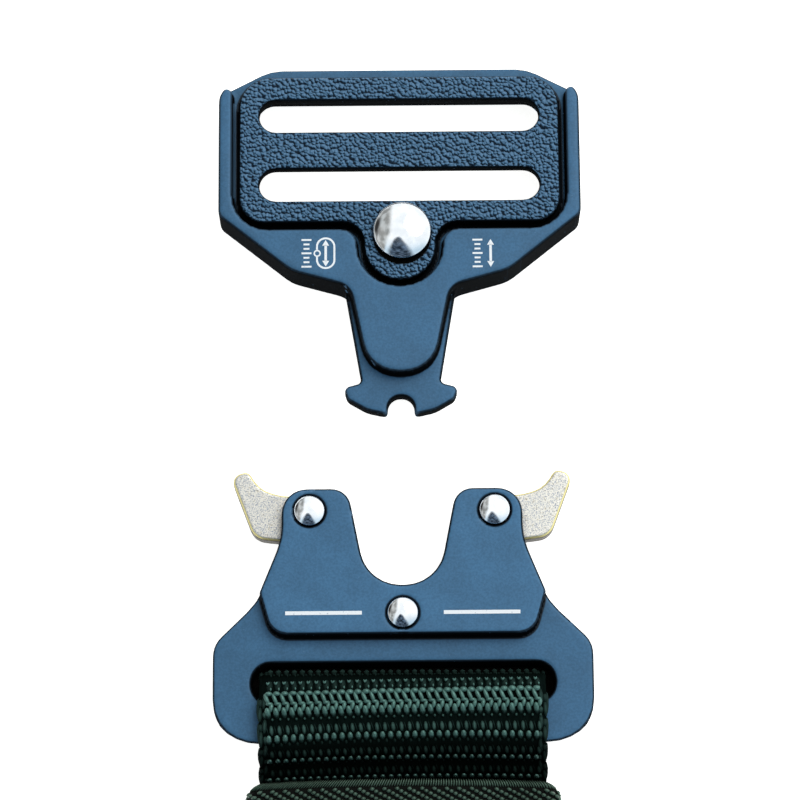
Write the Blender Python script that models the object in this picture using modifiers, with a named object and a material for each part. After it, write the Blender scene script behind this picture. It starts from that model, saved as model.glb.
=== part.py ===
"""Canvas belt: ribbed webbing with a two-part quick-release buckle, lying open on a table.

The female half holds the webbing, an elastic keeper and two brass release levers.
The male half lies apart from it, with a grained adjuster plate whose slots are empty.
The belt runs along Y, its face looks up, and the origin is under the middle of its length.
"""
import math
from collections import namedtuple

import bmesh
import bpy
from mathutils import Matrix, Vector

MM = 0.001

# Clearance between two separate pieces
GAP = 0.3 * MM

# Webbing and keeper
WEB_WIDTH = 38.0 * MM
WEB_THICK = 2.0 * MM
KEEPER_WIDTH = 40.8 * MM
KEEPER_THICK = 0.9 * MM
KEEPER_HEIGHT = 6.7 * MM
KEEPER_LENGTH = 30.0 * MM
KEEPER_CORNER = 1.5 * MM
KEEPER_TOP_Y = -22.9 * MM
STRAP_END_Y = -87.1 * MM

# Female half: floor, channel for the tongue and levers, then the cover plate
FRAME_THICK = 5.0 * MM
FLOOR_THICK = 2.1 * MM
COVER_BOTTOM = FRAME_THICK + GAP
COVER_TOP = 7.1 * MM
BAR_UNDERSIDE = 2.6 * MM
LEVER_BOTTOM = FLOOR_THICK + GAP
LEVER_TOP = 4.9 * MM
LEVER_PIVOT = (12.3 * MM, 13.84 * MM)

# Male half: a body with the hook plate as its middle layer and a tray for the adjuster plate
MALE_THICK = 6.8 * MM
HOOK_BOTTOM = 2.0 * MM
HOOK_TOP = 4.6 * MM
TRAY_FLOOR = 4.4 * MM
PLATE_BOTTOM = TRAY_FLOOR + GAP
PLATE_TOP = 6.7 * MM
HALVES_APART = 52.6 * MM
FAR_EDGE = 24.25 * MM
SLOT_HALF_LENGTH = 19.1 * MM
SLOT_HALF_HEIGHT = 2.3 * MM
SLOT_CENTRES = (16.83 * MM, 6.95 * MM)

# Rivets: radius of the shank, of the domed head and of the flat lower head
SHANK_RADIUS = 1.5 * MM
HEAD_RADIUS = 1.95 * MM
FOOT_RADIUS = 2.4 * MM
BIG_SHANK_RADIUS = 2.0 * MM
BIG_HEAD_RADIUS = 3.85 * MM
BIG_FOOT_RADIUS = 2.7 * MM
FOOT_BOTTOM = 0.1 * MM
FOOT_TOP = 0.8 * MM
FOOT_POCKET = FOOT_TOP + GAP

EDGE_BREAK = 0.25 * MM
ARC_STEP = math.radians(15)
CIRCLE_SIDES = 24
PAST = 3.0 * MM

Corner = namedtuple("Corner", "x y radius")

# Half outlines, in millimetres from the rivet in the middle of each half.
# Each runs down the right-hand side, from the far end to the near end.
FRAME_HALF = [
    Corner(0, 3.83, 0),
    Corner(4.67, 3.83, 5.4),
    Corner(7.22, 16.91, 2.6),
    Corner(16.0, 16.91, 3.3),
    Corner(16.0, 10.1, 9.0),
    Corner(19.3, 2.0, 9.0),
    Corner(25.15, -3.7, 3.5),
    Corner(25.15, -17.42, 6.3),
    Corner(0, -17.42, 0),
]
COVER_HALF = FRAME_HALF[:5] + [
    Corner(18.95, 2.86, 0.5),
    Corner(17.35, -2.82, 2.8),
    Corner(0, -2.82, 0),
]
CHANNEL_HALF = [
    Corner(0, 25.0, 0),
    Corner(30.0, 25.0, 0),
    Corner(30.0, 9.7, 0),
    Corner(14.9, 9.1, 0.8),
    Corner(13.7, 1.4, 2.0),
    Corner(9.0, -1.92, 3.0),
    Corner(0, -1.92, 0),
]
STRAP_SLOT_HALF = [
    Corner(0, -6.2, 0),
    Corner(20.05, -6.2, 2.6),
    Corner(20.05, -11.7, 2.6),
    Corner(0, -11.7, 0),
]
BODY_HALF = [
    Corner(0, 24.25, 0),
    Corner(17.6, 24.25, 6.0),
    Corner(24.65, 20.58, 2.5),
    Corner(24.65, 2.65, 1.5),
    Corner(14.75, -5.3, 5.0),
    Corner(6.8, -7.5, 2.6),
    Corner(4.3, -19.55, 4.9),
    Corner(0, -19.55, 0),
]
HOOK_HALF = [
    Corner(0, -6.0, 0),
    Corner(7.75, -6.0, 0),
    Corner(5.3, -20.5, 0.6),
    Corner(7.85, -21.1, 0.8),
    Corner(7.2, -22.8, 0.8),
    Corner(4.6, -24.3, 4.0),
    Corner(1.8, -24.93, 0.4),
    Corner(1.8, -22.3, 1.75),
    Corner(0, -22.3, 0),
]
TRAY_HALF = [
    Corner(0, 30.0, 0),
    Corner(40.0, 30.0, 0),
    Corner(40.0, 21.6, 0),
    Corner(22.8, 20.85, 0.9),
    Corner(22.8, 0.55, 5.0),
    Corner(5.87, 0.55, 2.1),
    Corner(5.87, -7.5, 5.8),
    Corner(0, -7.5, 0),
]
TRAY_WINDOW_HALF = [
    Corner(0, 20.45, 0),
    Corner(19.6, 20.45, 2.5),
    Corner(19.6, 3.85, 2.5),
    Corner(0, 3.85, 0),
]
PLATE_HALF = [
    Corner(0, 22.45, 0),
    Corner(21.8, 22.45, 4.2),
    Corner(21.8, 1.63, 3.4),
    Corner(4.84, 1.63, 3.0),
    Corner(4.84, -6.6, 4.8),
    Corner(0, -6.6, 0),
]

# Right-hand lever, in millimetres from its pivot: wing tip, wing, catch, then back round the pivot
LEVER_OUTLINE = [
    Corner(8.2, 6.04, 0.9),
    Corner(10.65, 5.44, 1.3),
    Corner(7.4, -3.2, 2.4),
    Corner(2.3, -3.8, 1.5),
    Corner(-2.1, -10.66, 1.0),
    Corner(-6.25, -9.96, 0.4),
    Corner(-5.1, -3.46, 3.0),
    Corner(-3.7, 1.54, 2.5),
    Corner(-0.8, 2.54, 2.0),
    Corner(3.6, 2.64, 4.0),
    Corner(6.6, 3.44, 4.0),
]

# Middle line of the webbing, seen from the side: y and height in millimetres, and the bend there.
# It starts at the sewn end under the belt, turns up through the slot and comes back over the bar.
STRAP_LINE = [
    Corner(-72.5, 1.05, 0),
    Corner(-57.0, 1.05, 12.0),
    Corner(-53.6, 2.2, 12.0),
    Corner(-22.0, 2.2, 8.0),
    Corner(-18.5, 1.1, 8.0),
    Corner(-8.5, 1.1, 2.55),
    Corner(-8.5, 6.3, 2.55),
    Corner(-17.2, 6.3, 3.5),
    Corner(-22.4, 4.5, 4.0),
    Corner(-54.0, 4.5, 12.0),
    Corner(-57.6, 3.4, 12.0),
    Corner(-73.0, 3.4, 8.0),
    Corner(-79.5, 1.05, 8.0),
    Corner(-87.1, 1.05, 0),
]

BLUED_STEEL = ("blue_black_coat", "3E5F7C", 0.45, 0.6)
GRAINED_COAT = ("grained_coat", "35536C", 0.55, 0.5)
CHROME = ("chromed_rivet", "C6D0D8", 0.15, 1.0)
BRASS = ("aged_brass", "CFC9AE", 0.4, 0.9)
WEBBING = ("green_webbing", "25352F", 0.85, 0.0)
ELASTIC = ("green_elastic", "262E26", 0.9, 0.0)


def clear_scene():
    for obj in list(bpy.data.objects):
        bpy.data.objects.remove(obj, do_unlink=True)


def collection(name):
    group = bpy.data.collections.new(name)
    bpy.context.scene.collection.children.link(group)
    return group


def material(name, hex_colour, roughness, metallic):
    """A Principled material from an sRGB colour."""
    made = bpy.data.materials.new(name)
    made.use_nodes = True
    channels = [int(hex_colour[i:i + 2], 16) / 255 for i in (0, 2, 4)]
    linear = [c / 12.92 if c <= 0.04045 else ((c + 0.055) / 1.055) ** 2.4 for c in channels]
    shader = made.node_tree.nodes["Principled BSDF"]
    shader.inputs["Base Color"].default_value = (*linear, 1.0)
    shader.inputs["Roughness"].default_value = roughness
    shader.inputs["Metallic"].default_value = metallic
    return made


def mirrored(half):
    """The whole outline from a half whose ends lie on the middle line."""
    other_side = [Corner(-c.x, c.y, c.radius) for c in reversed(half) if c.x > 0]
    return half + other_side


def rounded(corners, closed=True):
    """Points of an outline in metres, with an arc of its own radius at each corner."""
    points = []
    count = len(corners)
    for index, corner in enumerate(corners):
        here = Vector((corner.x, corner.y)) * MM
        at_end = not closed and index in (0, count - 1)
        if corner.radius == 0 or at_end:
            points.append(here)
            continue
        before = corners[index - 1]
        after = corners[(index + 1) % count]
        back = (Vector((before.x, before.y)) * MM - here).normalized()
        ahead = (Vector((after.x, after.y)) * MM - here).normalized()
        opening = back.angle(ahead)
        if math.pi - opening < math.radians(1):
            points.append(here)
            continue
        radius = corner.radius * MM
        tangent = radius / math.tan(opening / 2)
        centre = here + (back + ahead).normalized() * radius / math.sin(opening / 2)
        start = here + back * tangent - centre
        turn = math.pi - opening
        if start.cross(here + ahead * tangent - centre) < 0:
            turn = -turn
        steps = max(2, math.ceil(abs(turn) / ARC_STEP))
        for step in range(steps + 1):
            points.append(centre + Matrix.Rotation(turn * step / steps, 2) @ start)
    return points


def circle(radius, x=0.0, y=0.0, sides=CIRCLE_SIDES):
    turns = [2 * math.pi * i / sides for i in range(sides)]
    return [Vector((x + radius * math.cos(a), y + radius * math.sin(a))) for a in turns]


def oblong(half_length, half_height, y):
    """A slot with round ends, centred on the middle line."""
    corners = [
        Corner(sx * half_length / MM, (y + sy * half_height) / MM, half_height / MM - 0.001)
        for sx, sy in ((-1, -1), (1, -1), (1, 1), (-1, 1))
    ]
    return rounded(corners)


def runs_clockwise(outline):
    following = outline[1:] + outline[:1]
    return sum(here.cross(after) for here, after in zip(outline, following)) < 0


def slab(name, outlines, bottom, top, group, edge=0.0, placed=None):
    """A closed plate between two heights, from an outline and the outlines of its holes.

    Its upper and lower edges are broken by edge, as a caster or a punch leaves them.
    """
    drawing = bpy.data.curves.new(name + "_outline", "CURVE")
    drawing.dimensions = "2D"
    drawing.fill_mode = "BOTH"
    drawing.bevel_depth = edge
    drawing.bevel_resolution = 0
    drawing.offset = -edge
    drawing.extrude = (top - bottom) / 2 - edge
    for number, outline in enumerate(outlines):
        # The outer outline and the holes run opposite ways, so that both edges are broken inwards
        if runs_clockwise(outline) != (number == 0):
            outline = outline[::-1]
        spline = drawing.splines.new("POLY")
        spline.points.add(len(outline) - 1)
        for point, place in zip(spline.points, outline):
            point.co = (place.x, place.y, 0.0, 1.0)
        spline.use_cyclic_u = True
    sketch = bpy.data.objects.new(name + "_outline", drawing)
    group.objects.link(sketch)
    evaluated = sketch.evaluated_get(bpy.context.evaluated_depsgraph_get())
    mesh = bpy.data.meshes.new_from_object(evaluated)
    bpy.data.objects.remove(sketch, do_unlink=True)
    mesh.name = name

    work = bmesh.new()
    work.from_mesh(mesh)
    bmesh.ops.remove_doubles(work, verts=work.verts, dist=1e-7)
    bmesh.ops.translate(work, verts=work.verts, vec=(0, 0, (top + bottom) / 2))
    if placed is not None:
        bmesh.ops.transform(work, matrix=placed, verts=work.verts)
    bmesh.ops.dissolve_limit(
        work, angle_limit=math.radians(0.5), verts=work.verts, edges=work.edges
    )
    bmesh.ops.recalc_face_normals(work, faces=work.faces)
    work.to_mesh(mesh)
    work.free()
    made = bpy.data.objects.new(name, mesh)
    group.objects.link(made)
    return made


def combine(target, tool, operation):
    """Cuts the tool out of the target, or joins it on."""
    tool.hide_render = True
    tool.hide_viewport = False
    tool.display_type = "WIRE"
    step = target.modifiers.new(operation.lower() + "_" + tool.name, "BOOLEAN")
    step.operation = operation
    step.solver = "EXACT"
    step.object = tool


def settle(target, finish, parent):
    """Gives a piece its material and its parent, and shades it smooth between sharp edges."""
    target.data.materials.append(finish)
    target.data.shade_smooth()
    target.data.set_sharp_from_angle(angle=math.radians(35))
    target.parent = parent


def holder(name, y, group, x=0.0):
    """An empty that carries the pieces of one half."""
    empty = bpy.data.objects.new(name, None)
    empty.empty_display_size = 5 * MM
    empty.location = (x, y, 0)
    group.objects.link(empty)
    return empty


def rivet(name, shank, head, foot, shoulder, head_edge, crown, place, group):
    """A turned rivet: flat foot, shank, shoulder, and a dome that rises from its edge to its crown."""
    rise = crown - head_edge
    profile = [(0.0, crown)]
    dome_steps = 6
    for step in range(1, dome_steps + 1):
        turn = math.pi / 2 * step / dome_steps
        profile.append((head * math.sin(turn), head_edge + rise * math.cos(turn)))
    profile += [(head, shoulder), (shank, shoulder), (shank, FOOT_TOP), (foot, FOOT_TOP)]
    profile += [(foot, FOOT_BOTTOM), (0.0, FOOT_BOTTOM)]
    mesh = bpy.data.meshes.new(name)
    work = bmesh.new()
    verts = [work.verts.new((radius, 0.0, height)) for radius, height in profile]
    for first, second in zip(verts, verts[1:]):
        work.edges.new((first, second))
    work.to_mesh(mesh)
    work.free()
    made = bpy.data.objects.new(name, mesh)
    made.location = (place[0], place[1], 0)
    group.objects.link(made)
    turn = made.modifiers.new("turned", "SCREW")
    turn.steps = CIRCLE_SIDES
    turn.render_steps = CIRCLE_SIDES
    turn.use_merge_vertices = True
    turn.merge_threshold = 1e-6
    return made


def build_female_frame(parts, cutters, parent):
    frame = slab(
        "female_frame",
        [rounded(mirrored(FRAME_HALF)), rounded(mirrored(STRAP_SLOT_HALF))],
        0.0, FRAME_THICK, parts, EDGE_BREAK,
    )
    channel = slab(
        "channel_cutter", [rounded(mirrored(CHANNEL_HALF))], FLOOR_THICK, FRAME_THICK + PAST, cutters
    )
    strap_path = [
        Corner(-19.8, -10.8, 0), Corner(19.8, -10.8, 0), Corner(19.8, -25.0, 0), Corner(-19.8, -25.0, 0)
    ]
    underside = slab("strap_path_cutter", [rounded(strap_path)], -PAST, BAR_UNDERSIDE, cutters)
    tools = [channel, underside]
    for index, (x, y) in enumerate(rivet_places()):
        tools.append(slab(f"frame_bore_{index}", [circle(SHANK_RADIUS + GAP, x, y)], -PAST, PAST, cutters))
        tools.append(slab(f"foot_pocket_{index}", [circle(FOOT_RADIUS + GAP, x, y)], -PAST, FOOT_POCKET, cutters))
    for tool in tools:
        tool.parent = parent
        combine(frame, tool, "DIFFERENCE")
    return frame


def rivet_places():
    """The two horn rivets and the rivet in the middle."""
    x, y = LEVER_PIVOT
    return [(-x, y), (x, y), (0.0, 0.0)]


def build_cover(parts):
    outlines = [rounded(mirrored(COVER_HALF))]
    outlines += [circle(HEAD_RADIUS + GAP, x, y) for x, y in rivet_places()]
    return slab("cover_plate", outlines, COVER_BOTTOM, COVER_TOP, parts, EDGE_BREAK)


def build_lever(name, side, parts):
    """A release lever whose origin lies on its pivot; side is 1 on the right and -1 on the left."""
    outline = rounded([Corner(side * c.x, c.y, c.radius) for c in LEVER_OUTLINE])
    lever = slab(name, [outline, circle(SHANK_RADIUS + GAP)], LEVER_BOTTOM, LEVER_TOP, parts, EDGE_BREAK)
    lever.location = (side * LEVER_PIVOT[0], LEVER_PIVOT[1], 0)
    return lever


def build_strap(parts):
    """The webbing as one solid: its side view, offset from its middle line, across its width."""
    line = rounded(STRAP_LINE, closed=False)
    near_side = []
    far_side = []
    for index, place in enumerate(line):
        before = line[max(index - 1, 0)]
        after = line[min(index + 1, len(line) - 1)]
        along = (after - before).normalized()
        across = Vector((-along.y, along.x)) * WEB_THICK / 2
        near_side.append(place + across)
        far_side.append(place - across)
    side_view = near_side + far_side[::-1]
    stand_up = Matrix(((0, 0, 1, 0), (1, 0, 0, 0), (0, 1, 0, 0), (0, 0, 0, 1)))
    return slab("webbing_strap", [side_view], -WEB_WIDTH / 2, WEB_WIDTH / 2, parts, placed=stand_up)


def build_keeper(parts):
    """The elastic loop round both layers of the webbing."""
    half = KEEPER_WIDTH / 2 / MM
    high = KEEPER_HEIGHT / MM
    thick = KEEPER_THICK / MM
    bend = KEEPER_CORNER / MM
    outer = [Corner(x, z, bend) for x, z in ((-half, 0), (half, 0), (half, high), (-half, high))]
    inner = [
        Corner(math.copysign(abs(c.x) - thick, c.x), min(max(c.y, thick), high - thick), c.radius - thick)
        for c in outer
    ]
    end = KEEPER_TOP_Y - KEEPER_LENGTH
    stand_up = Matrix(((1, 0, 0, 0), (0, 0, 1, 0), (0, 1, 0, 0), (0, 0, 0, 1)))
    return slab("elastic_keeper", [rounded(outer), rounded(inner)], end, KEEPER_TOP_Y, parts, placed=stand_up)


def build_male_body(parts, cutters, parent):
    body = slab("male_body", [rounded(mirrored(BODY_HALF))], 0.0, MALE_THICK, parts, EDGE_BREAK)
    hook = slab("hook_layer", [rounded(mirrored(HOOK_HALF))], HOOK_BOTTOM, HOOK_TOP, cutters, EDGE_BREAK)
    hook.parent = parent
    combine(body, hook, "UNION")
    tools = [
        slab("tray_cutter", [rounded(mirrored(TRAY_HALF))], TRAY_FLOOR, MALE_THICK + PAST, cutters),
        slab("tray_window_cutter", [rounded(mirrored(TRAY_WINDOW_HALF))], -PAST, MALE_THICK + PAST, cutters),
        slab("rivet_bore", [circle(BIG_SHANK_RADIUS + GAP)], -PAST, MALE_THICK + PAST, cutters),
        slab("rivet_foot_pocket", [circle(BIG_FOOT_RADIUS + GAP)], -PAST, FOOT_POCKET, cutters),
    ]
    for tool in tools:
        tool.parent = parent
        combine(body, tool, "DIFFERENCE")
    return body


def build_adjuster_plate(parts):
    outlines = [rounded(mirrored(PLATE_HALF))]
    outlines += [oblong(SLOT_HALF_LENGTH, SLOT_HALF_HEIGHT, y) for y in SLOT_CENTRES]
    outlines.append(circle(BIG_SHANK_RADIUS + GAP))
    return slab("adjuster_plate", outlines, PLATE_BOTTOM, PLATE_TOP, parts, EDGE_BREAK)


def main():
    clear_scene()
    parts = collection("canvas_belt")
    cutters = collection("cutters")
    coat = material(*BLUED_STEEL)
    grain = material(*GRAINED_COAT)
    chrome = material(*CHROME)
    brass = material(*BRASS)
    webbing = material(*WEBBING)
    elastic = material(*ELASTIC)

    # The origin lies under the middle of the whole length
    female_y = -(HALVES_APART + FAR_EDGE + STRAP_END_Y) / 2
    female = holder("female_half", female_y, parts)
    male = holder("male_half", female_y + HALVES_APART, parts)

    settle(build_female_frame(parts, cutters, female), coat, female)
    settle(build_cover(parts), coat, female)
    settle(build_lever("lever_left", -1, parts), brass, female)
    settle(build_lever("lever_right", 1, parts), brass, female)
    names = ("rivet_left", "rivet_right", "rivet_centre")
    for name, place in zip(names, rivet_places()):
        made = rivet(
            name, SHANK_RADIUS, HEAD_RADIUS, FOOT_RADIUS,
            LEVER_TOP + GAP, COVER_TOP + 0.1 * MM, COVER_TOP + 0.75 * MM, place, parts,
        )
        settle(made, chrome, female)
    settle(build_strap(parts), webbing, female)
    settle(build_keeper(parts), elastic, female)

    settle(build_male_body(parts, cutters, male), coat, male)
    settle(build_adjuster_plate(parts), grain, male)
    big_rivet = rivet(
        "adjuster_rivet", BIG_SHANK_RADIUS, BIG_HEAD_RADIUS, BIG_FOOT_RADIUS,
        PLATE_TOP + GAP, PLATE_TOP + GAP + 0.25 * MM, PLATE_TOP + 1.9 * MM, (0.0, 0.0), parts,
    )
    settle(big_rivet, chrome, male)


main()
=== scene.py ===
"""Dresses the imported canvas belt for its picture: the cast buckle halves with their satin coat and
leather-like grain, brass levers, domed rivets, printed marks, ribbed webbing and elastic keeper."""
import bisect
import math

import bmesh
import bpy
from mathutils import Matrix, Vector, noise
from mathutils.bvhtree import BVHTree


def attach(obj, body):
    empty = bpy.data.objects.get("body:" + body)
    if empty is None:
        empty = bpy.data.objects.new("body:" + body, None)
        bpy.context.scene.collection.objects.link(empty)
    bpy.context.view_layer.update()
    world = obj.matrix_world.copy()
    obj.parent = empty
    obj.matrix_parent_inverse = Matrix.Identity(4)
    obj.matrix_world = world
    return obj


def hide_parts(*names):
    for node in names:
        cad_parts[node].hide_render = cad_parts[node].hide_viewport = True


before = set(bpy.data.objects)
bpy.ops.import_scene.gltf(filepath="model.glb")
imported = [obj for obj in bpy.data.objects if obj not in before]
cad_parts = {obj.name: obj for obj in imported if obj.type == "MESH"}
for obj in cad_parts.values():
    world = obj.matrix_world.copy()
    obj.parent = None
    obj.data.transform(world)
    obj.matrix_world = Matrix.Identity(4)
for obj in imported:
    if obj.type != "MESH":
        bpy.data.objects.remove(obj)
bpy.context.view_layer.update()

bl_info = {
    "name": "Canvas belt looks",
    "version": (1, 0, 0),
    "blender": (4, 5, 0),
    "location": "3D View > Sidebar > Belt",
    "description": "Models the visible surfaces of a canvas belt with a quick-release buckle",
    "category": "Object",
}

MM = 0.001

# The middle rivet of each half, along the belt
FEMALE_Y = 5.125 * MM
MALE_Y = 57.725 * MM

# The rivets of the female half from its middle rivet, across and along the belt in millimetres
RIVETS = (("left", -12.3, 13.84), ("right", 12.3, 13.84), ("centre", 0.0, 0.0))

# In millimetres, how tall the rolled edge of a rivet's head is, and the heights of its foot
HEAD_ROLL = 0.12
FOOT_TOP = 0.8
FOOT_BOTTOM = 0.1

# Heights of the faces that carry something
COVER_TOP = 7.1 * MM
BODY_TOP = 6.8 * MM

# How far printed ink lies in the face that carries it, and how thick it is in all
INK_SUNK = 0.03 * MM
INK_THICK = 0.05 * MM

# A casting's face counts as a wall where the upward part of its normal is below this; walls
# get the dull copy of the coat, as painted shade
WALL_SLOPE = 0.76

# The middle of the painted shadow, a dark ring round the big rivet's head in the grained plate,
# and its radius
RIVET_SHADOW_MIDDLE = Vector((0.3 * MM, MALE_Y - 0.55 * MM, 6.7 * MM))
RIVET_SHADOW_RADIUS = 3.92 * MM

# Middle line of the webbing, seen from the side: y and height in millimetres from the middle
# rivet, and the radius of the bend there. It runs from the sewn end under the belt up through
# the slot, back over the bar, and on to the webbing's end.
STRAP_CORNERS = (
    (-72.5, 1.05, 0), (-57.0, 1.05, 12.0), (-53.6, 2.2, 12.0), (-22.0, 2.2, 8.0), (-18.5, 1.1, 8.0),
    (-7.6, 1.1, 2.55), (-8.5, 6.3, 2.55), (-17.2, 6.3, 3.5), (-22.4, 4.5, 4.0), (-54.0, 4.5, 12.0),
    (-57.6, 3.4, 12.0), (-73.0, 3.4, 8.0), (-79.5, 1.05, 8.0), (-87.1, 1.05, 0),
)
# How far along that line the webbing turns from its lower to its upper run
STRAP_TURN = 72 * MM
# Middle line of the keeper's band, seen along the belt, from under the middle round to the right:
# x, height and the bend's radius in millimetres
KEEPER_CORNERS = (
    (0.0, 0.55, 0), (19.9, 0.55, 1.05), (19.9, 6.25, 1.05), (-19.9, 6.25, 1.05), (-19.9, 0.55, 1.05),
    (0.0, 0.55, 0),
)
# The keeper's front edge from the middle rivet, and its width along the belt
KEEPER_FRONT = -22.4 * MM
KEEPER_LONG = 30.0 * MM
# Webbing and keeper lie that much to the left of the buckle's middle
CLOTH_ASIDE = 0.12 * MM

# Ribs across the webbing, and the height above its middle below which the yarns get a dull copy
# of the nylon, as painted shade
WEBBING_RIBS = 34
SHADED_BELOW_HEIGHT = 0.9 * MM
# Seed of the noise by which the yarns wander
WANDER_SEED = 1

# Sides and rings of the smallest beads
SMALL = {"sides": 5, "rings": 4}

# Option of a Map Range node whose ramp starts and ends softly
SOFT = {"interpolation_type": "SMOOTHSTEP"}

# The camera looks along the belt from its near side
CAMERA_TARGET = Vector((-0.15 * MM, 36 * MM, 0.0))
CAMERA_AWAY = 0.5
CAMERA_TILT = math.radians(15)
CAMERA_ROLL = math.radians(-0.45)
CAMERA_LENS = 165.7
SENSOR_WIDTH = 36

# The lamp's size, where it points, and where it stands from there
KEY_SIZE = 0.42
KEY_AIM = Vector((0.0, 0.03, 0.0))
KEY_AWAY = Vector((0.24, 0.29, 0.59))


def hex_colour(text):
    """Linear colour from an sRGB hex value."""
    channels = [int(text[i:i + 2], 16) / 255 for i in (0, 2, 4)]
    return [c / 12.92 if c <= 0.04045 else ((c + 0.055) / 1.055) ** 2.4 for c in channels]


def rgba(values):
    return (*values, 1.0)


def hex_rgba(text):
    return rgba(hex_colour(text))


def clamp(value):
    """The value kept from 0 to 1."""
    return min(max(value, 0.0), 1.0)


def per_mm(millimetres):
    """Texture scale whose features are that far apart."""
    return 1.0 / (millimetres * MM)


def length(name, description, millimetres):
    return bpy.props.FloatProperty(
        name=name, description=description, default=millimetres * MM,
        min=0.0, precision=5, unit="LENGTH", subtype="DISTANCE",
    )


def colour(name, description, text):
    return bpy.props.FloatVectorProperty(
        name=name, description=description, default=hex_colour(text),
        size=3, min=0.0, max=1.0, subtype="COLOR",
    )


class CastingLooks(bpy.types.PropertyGroup):
    """Sizes and colours of the castings, the levers and their printed marks."""

    casting_grid: length("Casting grid", "Mesh size on the castings", 0.215)
    plate_grid: length("Plate grid", "Mesh size on the grained plate", 0.17)
    lever_grid: length("Lever grid", "Mesh size on the levers", 0.14)
    edge_rounds: bpy.props.IntProperty(
        name="Edge rounding", description="How many times the cast edges are smoothed", default=7, min=0
    )
    # Painted reflection and shade: flats that look up are pale blue as if they mirrored the window, walls
    # and fillets near black
    flat_colour: colour("Flats", "Satin coat on the faces that look up", "3E688A")
    wall_colour: colour("Walls", "Coat in the fillets and on the walls", "050709")
    # Painted highlight on convex edges and on the lit side of the grain's pebbles, and also the colour of
    # dust and hairlines
    edge_highlight_and_dust_colour: colour("Edges", "Coat worn thin along the edges", "5B7E9E")
    grain_colour: colour("Grain", "Tops of the grained plate's pebbles", "375C79")
    # Painted shadow: the dark crescent on each pebble's near left side
    crease_shade_colour: colour("Creases", "Creases between the pebbles", "071A2B")
    grain_size: length("Grain size", "Distance from crease to crease", 0.48)
    print_colour: colour("Print", "White marks on the flats", "E9EEF2")
    brass_colour: colour("Brass", "Pale speckled face of the levers", "D5D3CA")
    brass_edge_colour: colour("Brass edges", "Bright edges of the levers", "E6DA98")


class WebbingLooks(bpy.types.PropertyGroup):
    """Sizes and colours of the webbing and the elastic keeper."""

    column_pitch: length("Column pitch", "Distance between two ribs of the webbing", 1.055)
    row_pitch: length("Row pitch", "Distance between two rows of the weave", 3.3)
    yarn_colour: colour("Yarn", "Tops of the webbing's yarns", "0D1A16")
    # Painted light: the yarns on the bend over the bar, which faces the light
    crest_lit_colour: colour("Worn yarn", "Yarns where the webbing turns over the bar", "3F5D57")
    # Painted shade in the gaps of the weave, and on the webbing's core
    deep_colour: colour("Between yarns", "Gaps of the weave", "020403")
    elastic_colour: colour("Elastic", "Raised yarns of the keeper", "3C5046")
    # Painted shade in the gaps of the keeper's weave, and on its core
    elastic_deep_colour: colour("Between elastic yarns", "Gaps of the keeper's weave", "060806")
    thread_colour: colour("Thread", "Seams of the folded end", "2A4238")


class StageLooks(bpy.types.PropertyGroup):
    """Floor and light."""

    floor_colour: colour("Floor", "Plain pale floor", "F6F6F4")
    sky_strength: bpy.props.FloatProperty(
        name="Sky", description="Strength of the soft light from all round", default=1.25, min=0.0
    )
    key_power: bpy.props.FloatProperty(
        name="Key", description="Power of the large soft lamp", default=1.75, min=0.0, unit="POWER"
    )
    table_glow: bpy.props.FloatProperty(
        name="Table glow", description="Light from the frosted table top", default=1.0, min=0.0
    )


def add_node(tree, kind, values=(), out=None, **settings):
    """Adds a node and gives the output named by out, or else the first one in use.

    The settings are its options. The values set or link its inputs: those of a tuple go to the
    inputs in use, in their order, and those of a dictionary to the inputs that it names.
    """
    node = tree.nodes.new("ShaderNode" + kind)
    for option, value in settings.items():
        setattr(node, option, value)
    if isinstance(values, dict):
        given = [(node.inputs[name], value) for name, value in values.items()]
    else:
        given = zip([socket for socket in node.inputs if socket.enabled], values)
    for socket, value in given:
        if isinstance(value, bpy.types.NodeSocket):
            tree.links.new(value, socket)
        else:
            socket.default_value = value
    if out:
        return node.outputs[out]
    return next(socket for socket in node.outputs if socket.enabled)


def new_material(name, **inputs):
    """A Principled material with constants on the shader's own sockets."""
    made = bpy.data.materials.new(name)
    made.use_nodes = True
    shader = made.node_tree.nodes["Principled BSDF"]
    for socket, value in inputs.items():
        shader.inputs[socket.replace("_", " ")].default_value = value
    return made, made.node_tree, shader


def facing_up(tree, low, high):
    """1 on faces that look up, 0 on walls."""
    normal = add_node(tree, "TexCoord", out="Normal")
    upward = add_node(tree, "SeparateXYZ", (normal,), "Z")
    return add_node(tree, "MapRange", (upward, low, high), **SOFT)


def openness(tree, millimetres, low, high):
    """1 in the open, 0 deep in grooves and corners of that size."""
    light = add_node(tree, "AmbientOcclusion", {"Distance": millimetres * MM}, "AO", samples=8)
    return add_node(tree, "MapRange", (light, low, high), **SOFT)


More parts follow.
